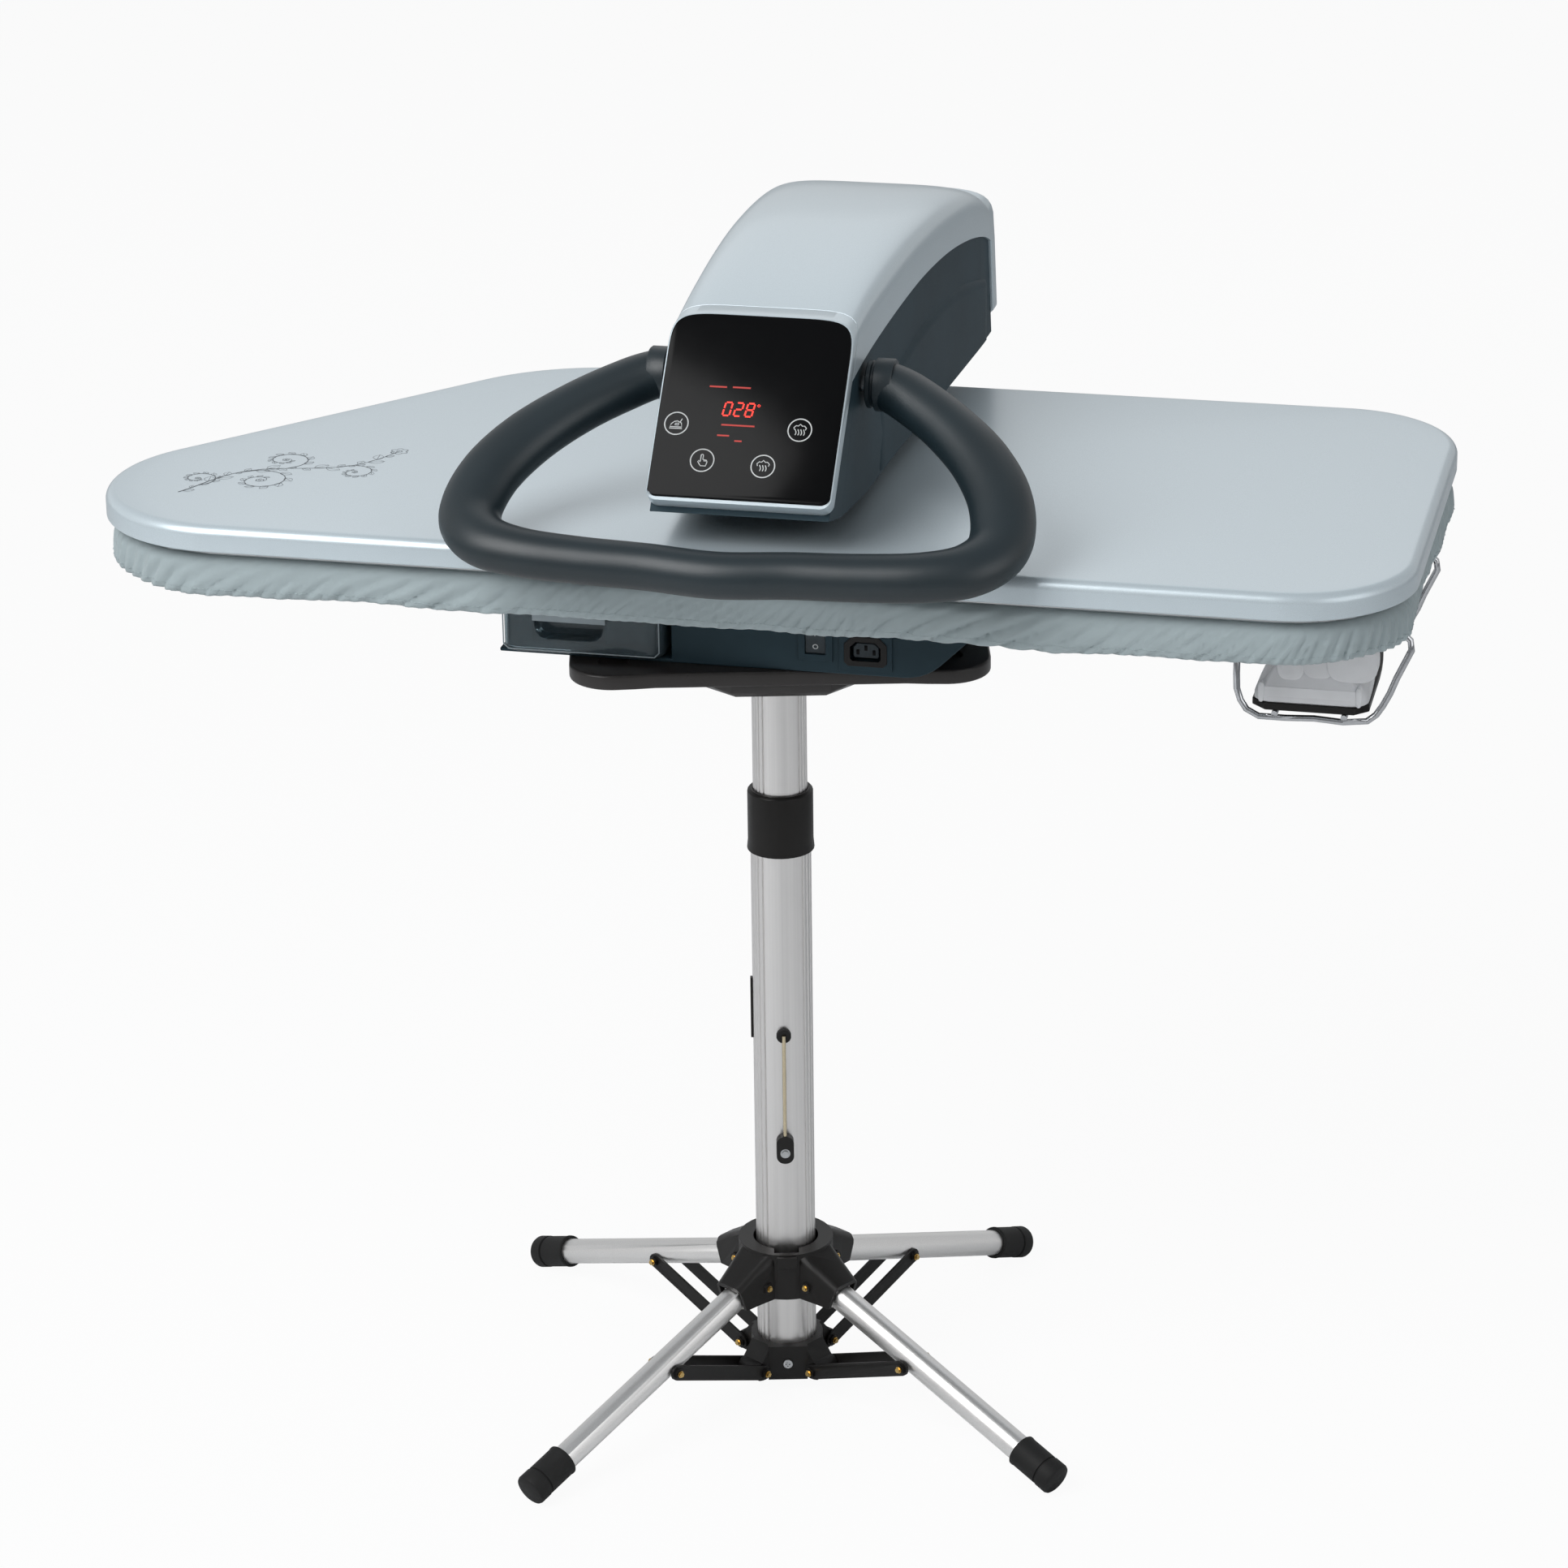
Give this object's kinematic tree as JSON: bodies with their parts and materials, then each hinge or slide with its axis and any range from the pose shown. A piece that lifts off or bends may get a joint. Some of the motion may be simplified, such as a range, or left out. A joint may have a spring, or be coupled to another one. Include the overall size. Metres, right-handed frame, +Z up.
{
  "type": "steam ironing press",
  "caption": "Steam ironing press: hinged heated head over a padded board, with base unit, water tank and iron on its rest, on a folding telescopic stand.",
  "frame": {"origin": "floor level under the middle of the press's own box", "axes": "+Z up, -Y toward the person who irons, +X along the board to its square end"},
  "size_m": [1.0098, 0.6638, 0.951],
  "materials": {
    "silver": "satin silver paint, pale blue-grey",
    "slate": "fine-grained dark slate",
    "charcoal": "fine-grained charcoal",
    "gloss": "high-gloss black",
    "anodised": "satin anodised",
    "black": "satin black",
    "rubber": "matt",
    "steel": "zinc plated",
    "plate": "cast and ground",
    "black_steel": "satin black paint",
    "chrome": "bright chrome",
    "brass": "bright",
    "cloth": "fitted grey-teal cotton",
    "foam": "felt",
    "tank": "clear smoke",
    "white": "gloss white",
    "blue": "gloss",
    "display": "dark red window"
  },
  "bodies": {
    "stand": {"outer_tube": "anodised", "clamp_sleeve": "black", "lower_collar": "black_steel", "collar_screw": "steel", "lock_grommet": "rubber", "lock_boss": "black", "lock_wire": "brass", "tube_side_strip": "black"},
    "hub": {"spreader_hub": "black"},
    "leg_rear_right": {"leg_tube_rear_right": "anodised", "foot_cap_rear_right": "rubber"},
    "leg_rear_left": {"leg_tube_rear_left": "anodised", "foot_cap_rear_left": "rubber"},
    "leg_front_left": {"leg_tube_front_left": "anodised", "foot_cap_front_left": "rubber"},
    "leg_front_right": {"leg_tube_front_right": "anodised", "foot_cap_front_right": "rubber"},
    "brace_pair_rear_right": {"brace_rear_right": "black_steel"},
    "brace_pair_rear_left": {"brace_rear_left": "black_steel"},
    "brace_pair_front_left": {"brace_front_left": "black_steel"},
    "brace_pair_front_right": {"brace_front_right": "black_steel"},
    "board": {"inner_tube": "anodised", "top_flange": "black", "top_plate": "black", "base_housing": "slate", "rocker_bezel": "black", "iron_socket": "black", "board_panel": "plate", "board_pad": "foam", "board_cover": "cloth", "iron_rest": "chrome", "hinge_bracket": "slate"},
    "head": {"arm_cover": "silver", "arm_body": "slate", "arm_frame": "steel", "rear_cap": "silver", "panel_bezel": "silver", "control_panel": "gloss", "display_window": "display", "shoe_cover": "silver", "heating_plate": "plate", "hinge_shaft": "steel", "handle_shaft": "steel"},
    "handle": {"handle_loop": "charcoal"},
    "tank": {"water_tank": "tank", "tank_lid": "slate"},
    "rocker": {"power_rocker": "rubber"},
    "iron": {"iron_soleplate": "black", "iron_body": "white", "iron_handle": "white", "iron_tank": "tank", "iron_button": "blue"}
  },
  "joints": [
    {"name": "stand_fold", "type": "slide", "parent": "stand", "child": "hub", "axis": [0, 0, 1], "range_m": [0, 0.1335]},
    {"name": "leg_rear_right_fold", "type": "hinge", "parent": "hub", "child": "leg_rear_right", "pos_m": [0.02055, -0.02223, 0.10008], "axis": [-0.8572, 0.515, 0], "range_deg": [0, 60.5]},
    {"name": "leg_rear_left_fold", "type": "hinge", "parent": "hub", "child": "leg_rear_left", "pos_m": [-0.03434, -0.03591, 0.10008], "axis": [-0.515, -0.8572, 0], "range_deg": [0, 60.5]},
    {"name": "leg_front_left_fold", "type": "hinge", "parent": "hub", "child": "leg_front_left", "pos_m": [-0.02066, -0.0908, 0.10008], "axis": [0.8572, -0.515, 0], "range_deg": [0, 60.5]},
    {"name": "leg_front_right_fold", "type": "hinge", "parent": "hub", "child": "leg_front_right", "pos_m": [0.03423, -0.07712, 0.10008], "axis": [0.515, 0.8572, 0], "range_deg": [0, 60.5]},
    {"name": "brace_rear_right_fold", "type": "hinge", "parent": "stand", "child": "brace_pair_rear_right", "pos_m": [0.02055, -0.02223, 0.02108], "axis": [0.8572, -0.515, 0], "range_deg": [0, 60.5]},
    {"name": "brace_rear_left_fold", "type": "hinge", "parent": "stand", "child": "brace_pair_rear_left", "pos_m": [-0.03434, -0.03591, 0.02108], "axis": [0.515, 0.8572, 0], "range_deg": [0, 60.5]},
    {"name": "brace_front_left_fold", "type": "hinge", "parent": "stand", "child": "brace_pair_front_left", "pos_m": [-0.02066, -0.0908, 0.02108], "axis": [-0.8572, 0.515, 0], "range_deg": [0, 60.5]},
    {"name": "brace_front_right_fold", "type": "hinge", "parent": "stand", "child": "brace_pair_front_right", "pos_m": [0.03423, -0.07712, 0.02108], "axis": [-0.515, -0.8572, 0], "range_deg": [0, 60.5]},
    {"name": "height_slide", "type": "slide", "parent": "stand", "child": "board", "axis": [0, 0, 1], "range_m": [0, 0.19]},
    {"name": "head_tilt", "type": "hinge", "parent": "board", "child": "head", "pos_m": [0.01394, 0.24148, 0.815], "axis": [-1, 0, 0], "range_deg": [0, 45]},
    {"name": "handle_tilt", "type": "hinge", "parent": "head", "child": "handle", "pos_m": [0.01394, -0.12452, 0.877], "axis": [-1, 0, 0], "range_deg": [0, 28]},
    {"name": "tank_slide", "type": "slide", "parent": "board", "child": "tank", "axis": [0, -1, 0], "range_m": [0, 0.17]},
    {"name": "rocker_tilt", "type": "hinge", "parent": "board", "child": "rocker", "pos_m": [0.05194, -0.15252, 0.684], "axis": [-1, 0, 0], "range_deg": [0, 16]},
    {"name": "iron_slide", "type": "slide", "parent": "board", "child": "iron", "axis": [0, -1, 0], "range_m": [0, 0.2]}
  ],
  "couplings": [
    {"joint": "leg_rear_right_fold", "follows": "stand_fold", "rad_per_m": 7.905},
    {"joint": "leg_rear_left_fold", "follows": "stand_fold", "rad_per_m": 7.905},
    {"joint": "leg_front_left_fold", "follows": "stand_fold", "rad_per_m": 7.905},
    {"joint": "leg_front_right_fold", "follows": "stand_fold", "rad_per_m": 7.905},
    {"joint": "brace_rear_right_fold", "follows": "stand_fold", "rad_per_m": 7.905},
    {"joint": "brace_rear_left_fold", "follows": "stand_fold", "rad_per_m": 7.905},
    {"joint": "brace_front_left_fold", "follows": "stand_fold", "rad_per_m": 7.905},
    {"joint": "brace_front_right_fold", "follows": "stand_fold", "rad_per_m": 7.905}
  ]
}
